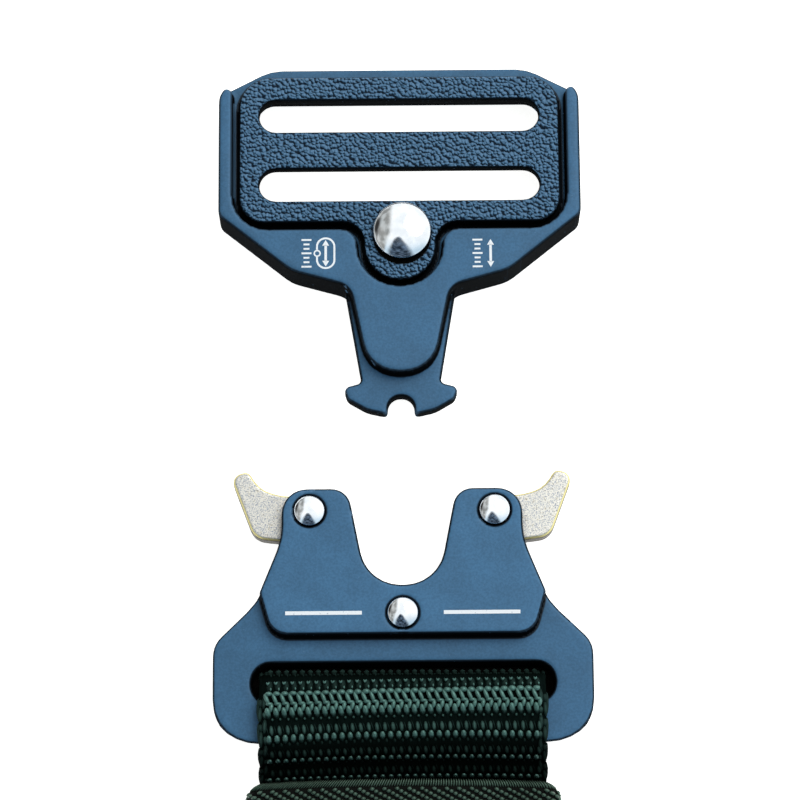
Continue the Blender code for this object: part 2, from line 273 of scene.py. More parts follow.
def coated_zinc(looks, name="powder_coated_zinc", gloss=0.3):
    """Powder-coated die-cast zinc alloy: an even satin blue-black film. The flats that look up are
    painted pale blue, a painted reflection of the window, the walls and fillets almost black, as
    painted shade, and convex edges a little paler, as a painted highlight; with faint mottling,
    dust and hairlines."""
    made, tree, shader = new_material(
        name, IOR=1.5, Specular_IOR_Level=gloss, Specular_Tint=hex_rgba("C8E4FF")
    )
    spot = add_node(tree, "TexCoord", out="Object")
    flat = facing_up(tree, 0.80, 0.985)
    mottle = add_node(tree, "TexNoise", {"Vector": spot, "Scale": per_mm(5.0), "Detail": 4.0})
    shade = add_node(tree, "MapRange", (mottle, 0.3, 0.7, 0.9, 1.08), **SOFT)
    # The powder has flowed out to a fine, even texture
    powder = add_node(tree, "TexNoise", {"Vector": spot, "Scale": per_mm(0.3), "Detail": 2.0})
    fine = add_node(tree, "MapRange", (powder, 0.3, 0.7, 0.9, 1.1), **SOFT)
    shade = add_node(tree, "Math", (shade, fine), operation="MULTIPLY")
    # Painted shade: the lower flats are painted a little darker, as if they got less light
    height = add_node(tree, "SeparateXYZ", (spot,), "Z")
    high = add_node(tree, "MapRange", (height, 6.7 * MM, 7.05 * MM, 0.87, 1.0), **SOFT)
    shade = add_node(tree, "Math", (shade, high), operation="MULTIPLY")
    tint = add_node(tree, "VectorMath", (looks.flat_colour, shade), operation="SCALE")
    # Painted reflection and shade: the flats that look up get the pale blue, the walls the near black
    base = add_node(tree, "Mix", (flat, rgba(looks.wall_colour), tint), data_type="RGBA")
    # Painted highlight: convex edges are painted as a slightly paler line
    bend = add_node(tree, "NewGeometry", out="Pointiness")
    edge = add_node(tree, "MapRange", (bend, 0.515, 0.56, 0.0, 0.45), **SOFT)
    # Dust and nibs of 0.15 mm
    dust = add_node(tree, "TexNoise", {"Vector": spot, "Scale": per_mm(0.35), "Detail": 1.0})
    speck = add_node(tree, "MapRange", (dust, 0.74, 0.8, 0.0, 0.35), **SOFT)
    # Handling hairlines, about 0.12 mm apart across and 6 mm long
    scale = (per_mm(6.0), per_mm(0.12), 1.0)
    turn = (0.0, 0.0, math.radians(35))
    along_hair = add_node(tree, "Mapping", {"Vector": spot, "Rotation": turn, "Scale": scale})
    hair = add_node(tree, "TexNoise", {"Vector": along_hair, "Scale": 1.0, "Detail": 1.0})
    hairline = add_node(tree, "MapRange", (hair, 0.70, 0.80, 0.0, 0.18), **SOFT)
    # The painted edge highlight, then dust and hairlines, in the pale colour
    for pale in (edge, speck, hairline):
        base = add_node(tree, "Mix", (pale, base, rgba(looks.edge_highlight_and_dust_colour)), data_type="RGBA")
    # Painted shadow: faces in the shade of the part beside are painted with the wall colour
    past_shadow = add_node(tree, "Attribute", out="Fac", attribute_name="past_shadow")
    clear = add_node(tree, "MapRange", (past_shadow, 0.0, 0.14 * MM), **SOFT)
    base = add_node(tree, "Mix", (clear, rgba(looks.wall_colour), base), data_type="RGBA")
    tree.links.new(base, shader.inputs["Base Color"])
    satin = add_node(tree, "MapRange", (mottle, 0.25, 0.75, 0.37, 0.48), **SOFT)
    rough = add_node(tree, "Mix", (flat, 0.95, satin))
    tree.links.new(rough, shader.inputs["Roughness"])
    peel = add_node(tree, "TexNoise", {"Vector": spot, "Scale": per_mm(0.45), "Detail": 3.0})
    bump = add_node(tree, "Bump", {"Height": peel, "Strength": 0.6, "Distance": 0.02 * MM})
    tree.links.new(bump, shader.inputs["Normal"])
    return made


def grained_zinc(looks):
    """The same coat over a cast leather grain: small pebbles, each with a painted shadow, a dark
    crescent of a crease on its near left side, and a painted highlight on its paler far side."""
    made, tree, shader = new_material(
        "leather_grained_zinc", Roughness=0.42, IOR=1.5, Specular_IOR_Level=0.35,
        Specular_Tint=hex_rgba("C8E4FF"),
    )
    spot = add_node(tree, "TexCoord", out="Object")
    cloud = {"Vector": spot, "Scale": per_mm(0.8), "Detail": 2.0}
    warp = add_node(tree, "TexNoise", cloud, "Color")
    sway = add_node(tree, "VectorMath", (warp, (0.5, 0.5, 0.5)), operation="SUBTRACT")
    sway = add_node(tree, "VectorMath", (sway, 0.6 * MM), operation="SCALE")
    bent = add_node(tree, "VectorMath", (spot, sway), operation="ADD")
    # Each pebble is a bowl turned over, and the slope is read from two spots of it
    depths = []
    for shift in ((0, 0, 0), (0.07 * MM, 0.13 * MM, 0)):
        moved = add_node(tree, "VectorMath", (bent, shift), operation="ADD")
        pebble = {"Vector": moved, "Scale": 1.0 / looks.grain_size, "Randomness": 1.0}
        away = add_node(tree, "TexVoronoi", pebble, "Distance", voronoi_dimensions="2D")
        depths.append(add_node(tree, "Math", (away, away), operation="MULTIPLY"))
    slope = add_node(tree, "Math", depths, operation="SUBTRACT")
    grit = add_node(tree, "TexNoise", {"Vector": spot, "Scale": per_mm(0.35), "Detail": 2.0})
    shade = add_node(tree, "MapRange", (grit, 0.3, 0.7, 0.85, 1.15), **SOFT)
    tint = add_node(tree, "VectorMath", (looks.grain_colour, shade), operation="SCALE")
    # Painted light and shade: each pebble's far side is painted paler and a crescent on its near left side
    # dark, as if lit from the far right
    lit_far_side = add_node(tree, "MapRange", (slope, 0.0, -0.15, 0.0, 0.6), **SOFT)
    crease = add_node(tree, "MapRange", (slope, 0.0, 0.13), **SOFT)
    base = add_node(tree, "Mix", (lit_far_side, tint, rgba(looks.edge_highlight_and_dust_colour)), data_type="RGBA")
    base = add_node(tree, "Mix", (crease, base, rgba(looks.crease_shade_colour)), data_type="RGBA")
    # Painted shadow of the rivet's head: a dark ring round it, which is widest on its near side
    away = add_node(tree, "VectorMath", (spot, RIVET_SHADOW_MIDDLE), operation="DISTANCE")
    rim = (RIVET_SHADOW_RADIUS - 0.07 * MM, RIVET_SHADOW_RADIUS + 0.13 * MM)
    clear = add_node(tree, "MapRange", (away, *rim), **SOFT)
    # Painted shade on the walls and in grooves, and the painted shadow round the rivet's head
    for light, dark in (
        (facing_up(tree, 0.55, 0.9), rgba(looks.wall_colour)),
        (openness(tree, 1.2, 0.5, 0.7), rgba(looks.wall_colour)),
        (clear, hex_rgba("020303")),
    ):
        base = add_node(tree, "Mix", (light, dark, base), data_type="RGBA")
    tree.links.new(base, shader.inputs["Base Color"])
    raised = add_node(tree, "Math", (depths[0], -1.0), operation="MULTIPLY")
    height = add_node(tree, "Math", (grit, 0.25, raised), operation="MULTIPLY_ADD")
    bump = add_node(tree, "Bump", {"Height": height, "Strength": clear, "Distance": 0.3 * MM})
    tree.links.new(bump, shader.inputs["Normal"])
    return made


def painted_rivet_shadow():
    """Painted shadow in the ring under the big rivet's head: black, with no shine."""
    made, tree, shader = new_material("painted_shadow_under_rivet", Roughness=0.9, Specular_IOR_Level=0.02)
    spot = add_node(tree, "TexCoord", out="Object")
    grit = add_node(tree, "TexNoise", {"Vector": spot, "Scale": per_mm(0.3), "Detail": 2.0})
    shade = add_node(tree, "MapRange", (grit, 0.4, 0.7), **SOFT)
    base = add_node(tree, "Mix", (shade, hex_rgba("030303"), hex_rgba("0C0B0A")), data_type="RGBA")
    tree.links.new(base, shader.inputs["Base Color"])
    return made


def chromed_steel():
    """Bright chromium on a turned steel rivet: a mirror with fine polishing marks and a faint
    ripple from the riveting tool."""
    made, tree, shader = new_material("polished_chrome", Metallic=1.0)
    spot = add_node(tree, "TexCoord", out="Object")
    smear = add_node(tree, "TexNoise", {"Vector": spot, "Scale": per_mm(1.6), "Detail": 4.0})
    shade = add_node(tree, "MapRange", (smear, 0.3, 0.7), **SOFT)
    base = add_node(tree, "Mix", (shade, hex_rgba("D8DFE4"), hex_rgba("EEF2F5")), data_type="RGBA")
    tree.links.new(base, shader.inputs["Base Color"])
    rough = add_node(tree, "MapRange", (smear, 0.3, 0.75, 0.05, 0.13), **SOFT)
    tree.links.new(rough, shader.inputs["Roughness"])
    ripple = add_node(tree, "TexNoise", {"Vector": spot, "Scale": per_mm(1.1), "Detail": 3.0})
    bump = add_node(tree, "Bump", {"Height": ripple, "Strength": 0.25, "Distance": 0.03 * MM})
    tree.links.new(bump, shader.inputs["Normal"])
    return made


def tumbled_brass(looks):
    """Brass sheet, tumbled and aged: a cream face speckled blue-grey and brown, a bright yellow
    line along the rounded edges, walls painted dark gold-brown as painted shade, and hollows
    painted near black as painted shade."""
    made, tree, shader = new_material("tumbled_brass", Metallic=0.55, Roughness=0.42)
    spot = add_node(tree, "TexCoord", out="Object")
    fine = {"Vector": spot, "Scale": per_mm(0.17), "Detail": 3.0, "Roughness": 0.75}
    grit = add_node(tree, "TexNoise", fine)
    grey = add_node(tree, "MapRange", (grit, 0.48, 0.62), **SOFT)
    colours = (rgba(looks.brass_colour), hex_rgba("7F8CA0"))
    base = add_node(tree, "Mix", (grey, *colours), data_type="RGBA")
    coarse = {"Vector": spot, "Scale": per_mm(0.34), "Detail": 2.0, "Roughness": 0.65}
    spots = add_node(tree, "TexNoise", coarse)
    brown = add_node(tree, "MapRange", (spots, 0.58, 0.7, 0.0, 0.5), **SOFT)
    base = add_node(tree, "Mix", (brown, base, hex_rgba("9A8A5C")), data_type="RGBA")
    # The rounded edges painted bright yellow; walls dark gold-brown and hollows near black, as painted
    # shade
    for light, dark in (
        (facing_up(tree, 0.80, 0.97), rgba(looks.brass_edge_colour)),
        (facing_up(tree, 0.3, 0.6), hex_rgba("2E2410")),
        (openness(tree, 2.0, 0.3, 0.6), hex_rgba("080604")),
    ):
        base = add_node(tree, "Mix", (light, dark, base), data_type="RGBA")
    tree.links.new(base, shader.inputs["Base Color"])
    rough = add_node(tree, "MapRange", (grit, 0.3, 0.7, 0.3, 0.55), **SOFT)
    tree.links.new(rough, shader.inputs["Roughness"])
    bump = add_node(tree, "Bump", {"Height": grit, "Strength": 0.5, "Distance": 0.04 * MM})
    tree.links.new(bump, shader.inputs["Normal"])
    return made


def woven_nylon(name, top, deep, lift, filament, gloss, tint, worn=None):
    """Nylon yarn: low sheen, with fine filaments along the yarn and painted shade in the gaps between
    yarns.

    The attribute lay holds each point's place on the flat cloth: across, along and height. The
    colour goes from deep to top over the two heights of lift, in millimetres, so the low parts are
    painted dark as painted shade. Where the cloth bends over the bar and faces the light, its yarns
    are painted paler as painted light: worn gives the colour there, its middle along the cloth, and
    how much of it the gaps take.
    """
    made, tree, shader = new_material(
        name, Roughness=0.36, IOR=1.53, Specular_IOR_Level=gloss, Specular_Tint=hex_rgba(tint)
    )
    lay = add_node(tree, "Attribute", out="Vector", attribute_name="lay")
    _, along, height = add_node(tree, "SeparateXYZ", (lay,)).node.outputs
    lifted = add_node(tree, "MapRange", (height, lift[0] * MM, lift[1] * MM), **SOFT)
    deep = rgba(deep)
    # Painted light: near the bend over the bar the yarns, and some of the gaps, are painted paler
    if worn:
        crest_lit_colour, middle, gap_share = worn
        away = add_node(tree, "Math", (along, middle), operation="SUBTRACT")
        away = add_node(tree, "Math", (away,), operation="ABSOLUTE")
        near = add_node(tree, "MapRange", (away, 7.5 * MM, 2.5 * MM), **SOFT)
        in_gaps = add_node(tree, "Math", (near, gap_share), operation="MULTIPLY")
        top = add_node(tree, "Mix", (near, rgba(top), rgba(crest_lit_colour)), data_type="RGBA")
        deep = add_node(tree, "Mix", (in_gaps, deep, rgba(crest_lit_colour)), data_type="RGBA")
    # Filaments are drawn coarser than real ones, so that they show
    scale = (per_mm(filament), per_mm(1.4), per_mm(filament))
    along_yarn = add_node(tree, "Mapping", {"Vector": lay, "Scale": scale})
    strands = add_node(tree, "TexNoise", {"Vector": along_yarn, "Scale": 1.0, "Detail": 2.0})
    strand_shade = add_node(tree, "MapRange", (strands, 0.3, 0.7, 0.72, 1.25), **SOFT)
    spot = add_node(tree, "TexCoord", out="Object")
    patch = add_node(tree, "TexNoise", {"Vector": spot, "Scale": per_mm(4.0), "Detail": 3.0})
    patch_shade = add_node(tree, "MapRange", (patch, 0.3, 0.7, 0.86, 1.12), **SOFT)
    shade = add_node(tree, "Math", (strand_shade, patch_shade), operation="MULTIPLY")
    yarn = add_node(tree, "VectorMath", (top, shade), operation="SCALE")
    # Painted shade: the low parts of the yarns go to the deep colour
    base = add_node(tree, "Mix", (lifted, deep, yarn), data_type="RGBA")
    tree.links.new(base, shader.inputs["Base Color"])
    # Only the highest yarns are rubbed smooth
    rough = add_node(tree, "MapRange", (lifted, 0.5, 1.0, 0.62, 0.33), **SOFT)
    tree.links.new(rough, shader.inputs["Roughness"])
    bump = add_node(tree, "Bump", {"Height": strands, "Strength": 0.6, "Distance": 0.05 * MM})
    tree.links.new(bump, shader.inputs["Normal"])
    return made


def printed_ink(looks):
    """Pad-printed white ink: flat and a little thin in places."""
    made, tree, shader = new_material("white_ink", Roughness=0.55)
    spot = add_node(tree, "TexCoord", out="Object")
    cloud = add_node(tree, "TexNoise", {"Vector": spot, "Scale": per_mm(0.4), "Detail": 2.0})
    thin = add_node(tree, "MapRange", (cloud, 0.6, 0.8, 0.0, 0.5), **SOFT)
    colours = (rgba(looks.print_colour), rgba(looks.flat_colour))
    base = add_node(tree, "Mix", (thin, *colours), data_type="RGBA")
    tree.links.new(base, shader.inputs["Base Color"])
    return made


def frosted_acrylic(looks):
    """The lit table top: frosted, pale and even."""
    pale = rgba(looks.floor_colour)
    made, tree, shader = new_material(
        "frosted_acrylic", Roughness=0.9, Specular_IOR_Level=0.2, Emission_Color=pale
    )
    # Painted shadow: the table top in the slot that the webbing fills is painted dark, without glow, as
    # hardly any light comes there
    spot = add_node(tree, "TexCoord", out="Object")
    across, along, _ = add_node(tree, "SeparateXYZ", (spot,)).node.outputs
    before = add_node(tree, "Math", (along, FEMALE_Y - 9.0 * MM), operation="SUBTRACT")
    outside = []
    for place, start in ((across, 21.5), (before, 4.5)):
        away = add_node(tree, "Math", (place,), operation="ABSOLUTE")
        outside.append(add_node(tree, "MapRange", (away, start * MM, (start + 1) * MM), **SOFT))
    lit = add_node(tree, "Math", outside, operation="MAXIMUM")
    glow = add_node(tree, "Math", (lit, looks.table_glow), operation="MULTIPLY")
    base = add_node(tree, "Mix", (lit, hex_rgba("120E0B"), pale), data_type="RGBA")
    tree.links.new(glow, shader.inputs["Emission Strength"])
    tree.links.new(base, shader.inputs["Base Color"])
    return made


def studio_world(looks):
    """A white tent that stands all round but for the left, where it opens on a grey room."""
    world = bpy.data.worlds.new("studio")
    world.use_nodes = True
    tree = world.node_tree
    sky = tree.nodes["Background"]
    heading = add_node(tree, "TexCoord", out="Generated")
    x, y, _ = add_node(tree, "SeparateXYZ", (heading,)).node.outputs
    clutter = add_node(tree, "TexNoise", {"Vector": heading, "Scale": 4.0, "Detail": 4.0})
    clutter = add_node(tree, "MapRange", (clutter, 0.4, 0.6), **SOFT)
    room = add_node(tree, "Mix", (clutter, hex_rgba("8F8E8B"), hex_rgba("C4C5C3")), data_type="RGBA")
    from_cupboard = add_node(tree, "VectorMath", (heading, (-0.80, 0.41, 0.44)), operation="DISTANCE")
    clear = add_node(tree, "MapRange", (from_cupboard, 0.15, 0.42), **SOFT)
    room = add_node(tree, "Mix", (clear, hex_rgba("353432"), room), data_type="RGBA")
    near = add_node(tree, "MapRange", (y, 0.15, -0.55), **SOFT)
    tent = add_node(tree, "Mix", (near, hex_rgba("FFFFFF"), hex_rgba("C6D9E6")), data_type="RGBA")
    near_side = add_node(tree, "Math", (y, 0.25), operation="MINIMUM")
    lean = add_node(tree, "Math", (near_side, -0.56, x), operation="MULTIPLY_ADD")
    inside = add_node(tree, "MapRange", (lean, -0.47, -0.33), **SOFT)
    glow = add_node(tree, "Mix", (inside, room, tent), data_type="RGBA")
    # The camera's stand shades a round-topped wedge of the near side
    reach = add_node(tree, "Math", (0.12, y), operation="SUBTRACT", use_clamp=True)
    reach = add_node(tree, "Math", (reach, 0.8), operation="POWER")
    reach = add_node(tree, "Math", (reach, 0.62), operation="MULTIPLY")
    aside = add_node(tree, "Math", (x, 0.09), operation="ADD")
    aside = add_node(tree, "Math", (aside,), operation="ABSOLUTE")
    share = add_node(tree, "Math", (aside, reach), operation="DIVIDE")
    narrow = add_node(tree, "MapRange", (share, 1.2, 0.65), **SOFT)
    low = add_node(tree, "MapRange", (y, 0.11, 0.05), **SOFT)
    wedge = add_node(tree, "Math", (narrow, low), operation="MULTIPLY")
    folds = add_node(tree, "TexNoise", {"Vector": heading, "Scale": 7.0, "Detail": 3.0})
    folds = add_node(tree, "MapRange", (folds, 0.38, 0.68), **SOFT)
    stand = add_node(tree, "Mix", (folds, hex_rgba("1C2530"), hex_rgba("63758A")), data_type="RGBA")
    glow = add_node(tree, "Mix", (wedge, glow, stand), data_type="RGBA")
    # The backdrop itself is plain
    seen = add_node(tree, "LightPath", out="Is Camera Ray")
    backdrop = add_node(tree, "Mix", (seen, glow, hex_rgba("F4F4F3")), data_type="RGBA")
    tree.links.new(backdrop, sky.inputs["Color"])
    sky.inputs["Strength"].default_value = looks.sky_strength
    return world


def add_object(name, data):
    """Puts a mesh, lamp or camera in the scene."""
    made = bpy.data.objects.new(name, data)
    bpy.context.scene.collection.objects.link(made)
    return made


def mesh_of(work, name):
    """A mesh made of a bmesh, which is used up."""
    mesh = bpy.data.meshes.new(name)
    work.to_mesh(mesh)
    work.free()
    return mesh


def show(work, name, materials, body="root", replaced=(), smooth=True):
    """Makes a bmesh a piece of the scene that rides on a body."""
    mesh = mesh_of(work, name)
    for material in materials:
        mesh.materials.append(material)
    if smooth:
        mesh.shade_smooth()
    piece = add_object(name, mesh)
    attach(piece, body)
    if replaced:
        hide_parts(*replaced)
    return piece


def undercut(vert):
    """Draws the frame's lower rim in under its strap bar, as the mould's draft leaves it."""
    bar_starts, bar_deep, rim_high = 12.6, 4.8, 4.6
    below = (FEMALE_Y - vert.co.y) / MM
    share = clamp((below - bar_starts) / bar_deep)
    depth = max(0.0, 1.0 - vert.co.z / (rim_high * MM))
    vert.co.y += (0.45 * share * share + 0.9 * share * depth) * MM


def snug(vert):
    """Draws the cover in round its rivets, whose heads nearly fill their holes."""
    drawn, outer, fade = 0.12, 2.9, 0.5
    for _, x, y in RIVETS:
        away = Vector((vert.co.x - x * MM, vert.co.y - FEMALE_Y - y * MM))
        share = clamp((outer - away.length / MM) / fade)
        away = away.normalized() * drawn * MM * share
        vert.co.x -= away.x
        vert.co.y -= away.y


def under_head(face):
    """Whether a face lies in the painted shadow ring round the rivet's head, which is widest on its
    near side.
    """
    away = face.calc_center_median() - RIVET_SHADOW_MIDDLE
    return math.hypot(away.x, away.y) < RIVET_SHADOW_RADIUS


def softened(node, grid, rounds):
    """A CAD node's shape as an even grid of faces with soft edges and fillets."""
    work = bmesh.new()
    work.from_mesh(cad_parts[node].data)
    for layer in list(work.loops.layers.uv.values()):
        work.loops.layers.uv.remove(layer)
    bmesh.ops.remove_doubles(work, verts=work.verts, dist=1e-6)
    rough = add_object(node + "_rough", mesh_of(work, node + "_rough"))
    remesh = rough.modifiers.new("even_grid", "REMESH")
    remesh.mode = "VOXEL"
    remesh.voxel_size = grid
    soften = rough.modifiers.new("cast_edges", "SMOOTH")
    soften.factor = 0.5
    soften.iterations = rounds
    evaluated = rough.evaluated_get(bpy.context.evaluated_depsgraph_get())
    even = bpy.data.meshes.new_from_object(evaluated)
    bpy.data.objects.remove(rough, do_unlink=True)
    work = bmesh.new()
    work.from_mesh(even)
    bpy.data.meshes.remove(even)
    if not work.faces:
        raise RuntimeError(node + ": the remesh left no faces")
    return work


def note_painted_shadow(work, beside):
    """Gives the points an attribute that holds how far each is past the line of the painted shadow
    of the part beside it, given as its node, how far that shadow falls towards the near side, and
    how wide it is. A point that is far from that part, or has none beside it, gets 1 mm."""
    past_shadow = work.verts.layers.float.new("past_shadow")
    for vert in work.verts:
        vert[past_shadow] = MM
    if not beside:
        return past_shadow
    node, fall, width = beside
    other = bmesh.new()
    other.from_mesh(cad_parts[node].data)
    surface = BVHTree.FromBMesh(other)
    other.free()
    for vert in work.verts:
        away = surface.find_nearest(vert.co + Vector((0, fall, 0)), 2 * MM)[3]
        if away is not None:
            vert[past_shadow] = away - width
    return past_shadow


def cast_copy(node, name, grid, rounds, materials, body="root", shape=None, beside=None, sunk=None):
    """A CAD node's shape with the rounded edges and fillets of a casting.

    Where it has more than one material, the second, a dull copy of the first as painted shade,
    is for walls and for faces in the painted shadow of the part beside it, and the third, a
    painted shadow, for the faces that sunk picks.
    """
    work = softened(node, grid, rounds)
    if shape:
        for vert in work.verts:
            shape(vert)
        work.normal_update()
    past_shadow = note_painted_shadow(work, beside)
    if len(materials) > 1:
        # Walls and faces in the painted shadow get the dull copy, as painted shade; faces that sunk picks
        # get the rivet's painted shadow
        for face in work.faces:
            face.material_index = 1 if face.normal.z < WALL_SLOPE else 0
            if sunk and sunk(face):
                face.material_index = 2
            elif all(vert[past_shadow] < 0 for vert in face.verts):
                face.material_index = 1
    show(work, name, materials, body, (node,))


def dome(radius, edge, crown, steps=20):
    """Half section of a domed head from its crown to its edge, which is rolled over."""
    widest = math.radians(79)
    points = [(0.0, crown)]
    for step in range(1, steps + 1):
        turn = widest * step / steps
        reach = radius * math.sin(turn) / math.sin(widest)
        points.append((reach, edge + (crown - edge) * math.cos(turn)))
    last = points[-1][1]
    points.append((radius, last - HEAD_ROLL * 0.5))
    points.append((radius, last - HEAD_ROLL))
    return points


def rivet(name, node, x, y, head, edge, crown, under, shank, foot, chrome):
    """A rivet spun round its axis: its domed head, its shank and the foot under the casting. The
    radii of head, shank and foot and the heights of the head are in millimetres."""
    section = dome(head, edge, crown)
    section += [(head, under), (shank, under), (shank, FOOT_TOP)]
    section += [(foot, FOOT_TOP), (foot, FOOT_BOTTOM), (0.0, FOOT_BOTTOM)]
    work = bmesh.new()
    verts = [work.verts.new((radius * MM, 0.0, height * MM)) for radius, height in section]
    edges = [work.edges.new(pair) for pair in zip(verts, verts[1:])]
    bmesh.ops.spin(
        work, geom=verts + edges, cent=(0, 0, 0), axis=(0, 0, 1), angle=2 * math.pi, steps=64,
        use_merge=True,
    )
    bmesh.ops.remove_doubles(work, verts=work.verts, dist=1e-7)
    bmesh.ops.recalc_face_normals(work, faces=work.faces)
    bmesh.ops.translate(work, verts=work.verts, vec=(x, y, 0))
    piece = show(work, name, (chrome,), "root", (node,))
    piece.data.set_sharp_from_angle(angle=math.radians(40))


def thicken(work, faces):
    """Gives flat printed faces the thickness of the ink."""
    made = bmesh.ops.extrude_face_region(work, geom=faces)
    risen = [item for item in made["geom"] if isinstance(item, bmesh.types.BMVert)]
    bmesh.ops.translate(work, verts=risen, vec=(0, 0, INK_THICK))


def outline_face(work, corners, height):
    """A flat face from the corners of its outline in millimetres, sunk in the face under it."""
    verts = [work.verts.new((x * MM, y * MM, height - INK_SUNK)) for x, y in corners]
    return work.faces.new(verts)


def bar_mark(work, x, y, width, tall, height):
    """A printed bar."""
    left, right, low, high = x - width / 2, x + width / 2, y - tall / 2, y + tall / 2
    corners = [(left, low), (right, low), (right, high), (left, high)]
    thicken(work, [outline_face(work, corners, height)])


def double_arrow(work, x, low, high, height):
    """A two-headed arrow along the belt."""
    head, half, shaft = 0.8, 0.47, 0.17
    bar_mark(work, x, (low + high) / 2, shaft * 2, high - low - 2 * head + 0.1, height)
    for side, tip in ((1, high), (-1, low)):
        back = tip - side * head
        corners = [(x - side * half, back), (x + side * half, back), (x, tip)]
        thicken(work, [outline_face(work, corners, height)])


def ring_mark(work, x, y, half_width, half_tall, line, height, sides=40, broken=0.0):
    """A stadium-shaped ring, or a round one where both halves are equal, whose left side may be
    broken at its middle."""
    straight = half_tall - half_width
    corners = []
    for index in range(sides):
        turn = 2 * math.pi * (index + 0.5) / sides
        lift = math.copysign(straight, math.sin(turn))
        corners.append((x + half_width * math.cos(turn), y + lift + half_width * math.sin(turn)))
        if broken and index == sides // 2 - 1:
            corners += [(x - half_width, y + broken), (x - half_width, y - broken)]
    disc = outline_face(work, corners, height)
    disc.normal_update()
    inset = bmesh.ops.inset_individual(work, faces=[disc], thickness=line * MM, use_even_offset=True)
    bmesh.ops.delete(work, geom=[disc], context="FACES_ONLY")
    band = []
    for face in inset["faces"]:
        away = face.calc_center_median() / MM - Vector((x - half_width, y, 0))
        if broken and math.hypot(away.x, away.y) < broken:
            bmesh.ops.delete(work, geom=[face], context="FACES_ONLY")
        else:
            band.append(face)
    thicken(work, band)


class Line:
    """A line through rounded corners on which a flat cloth is laid."""

    def __init__(self, corners):
        self.points = []
        for index, (u, v, radius) in enumerate(corners):
            here = Vector((u, v)) * MM
            if radius == 0:
                self.points.append(here)
                continue
            back = (Vector(corners[index - 1][:2]) * MM - here).normalized()
            ahead = (Vector(corners[index + 1][:2]) * MM - here).normalized()
            opening = back.angle(ahead)
            tangent = radius * MM / math.tan(opening / 2)
            centre = here + (back + ahead).normalized() * radius * MM / math.sin(opening / 2)
            start = here + back * tangent - centre
            turn = math.pi - opening
            if start.cross(here + ahead * tangent - centre) < 0:
                turn = -turn
            steps = max(3, math.ceil(abs(turn) / math.radians(6)))
            self.points += [centre + Matrix.Rotation(turn * k / steps, 2) @ start for k in range(steps + 1)]
        self.lengths = [0.0]
        for here, after in zip(self.points, self.points[1:]):
            self.lengths.append(self.lengths[-1] + (after - here).length)
        self.ways = []
        for index in range(len(self.points)):
            before = self.points[max(index - 1, 0)]
            after = self.points[min(index + 1, len(self.points) - 1)]
            self.ways.append((after - before).normalized())
        self.long = self.lengths[-1]

    def at(self, along):
        """The place and direction so far along the line."""
        index = min(max(bisect.bisect(self.lengths, along) - 1, 0), len(self.points) - 2)
        part = (along - self.lengths[index]) / (self.lengths[index + 1] - self.lengths[index])
        place = self.points[index].lerp(self.points[index + 1], part)
        return place, self.ways[index].lerp(self.ways[index + 1], part).normalized()

    def lift(self, along, height):
        """The place at that height over the line."""
        place, way = self.at(along)
        return place + Vector((way.y, -way.x)) * height


def add_bead(work, centre, half_size, lean=0.0, rise=0.0, sides=6, rings=5):
    """A yarn's crossing: a ball stretched along the cloth that leans across and rises, in mm."""
    made = bmesh.ops.create_uvsphere(work, u_segments=sides, v_segments=rings, radius=1.0)
    along = Matrix.Rotation(math.pi / 2, 4, "X")
    sized = Matrix.Diagonal((*(Vector(half_size) * MM), 1.0))
    slanted = Matrix(((1, lean, 0, 0), (0, 1, 0, 0), (0, rise, 1, 0), (0, 0, 0, 1)))
    moved = Matrix.Translation(Vector(centre) * MM)
    bmesh.ops.transform(work, matrix=moved @ slanted @ sized @ along, verts=made["verts"])


def repeat(work, count, step):
    """Copies all that is in the mesh so far in a row."""
    if count < 2:
        return
    everything = list(work.verts) + list(work.edges) + list(work.faces)
    bmesh.ops.spin(
        work, geom=everything, cent=(0, 0, 0), axis=(0, 0, 1), dvec=step, angle=0.0,
        steps=count - 1, use_duplicate=True,
    )


def join(work, other, shift=(0, 0, 0), flip=False):
    """Adds another bmesh, which is used up, moved along the cloth or turned to its other face."""
    mesh = mesh_of(other, "part_of_weave")
    first = len(work.verts)
    work.from_mesh(mesh)
    bpy.data.meshes.remove(mesh)
    work.verts.ensure_lookup_table()
    fresh = work.verts[first:]
    if flip:
        bmesh.ops.scale(work, verts=fresh, vec=(1, 1, -1))
    bmesh.ops.translate(work, verts=fresh, vec=shift)


def flat_core(width, long, across, along, middle, top, thick):
    """A flat cloth's dark core, as a closed sheet of so many squares across and along."""
    work = bmesh.new()
    bmesh.ops.create_grid(work, x_segments=across, y_segments=along, size=0.5)
    bmesh.ops.scale(work, verts=work.verts, vec=(width, long, 1))
    bmesh.ops.translate(work, verts=work.verts, vec=(*middle, -top))
    bmesh.ops.solidify(work, geom=list(work.faces), thickness=-thick)
    return work


def lay_cloth(work, place_of):
    """Notes each point's place on the flat cloth, then lays it where place_of says, with yarns
    that wander a little."""
    # Unseeded, the noise would differ from run to run
    noise.seed_set(WANDER_SEED)
    lay = work.verts.layers.float_vector.new("lay")
    for vert in work.verts:
        vert[lay] = vert.co
        vert[lay].z = abs(vert.co.z)
        wander = noise.noise_vector(vert.co / (1.7 * MM)) * 0.05 * MM
        vert.co = place_of(vert.co + wander)
    bmesh.ops.recalc_face_normals(work, faces=work.faces)


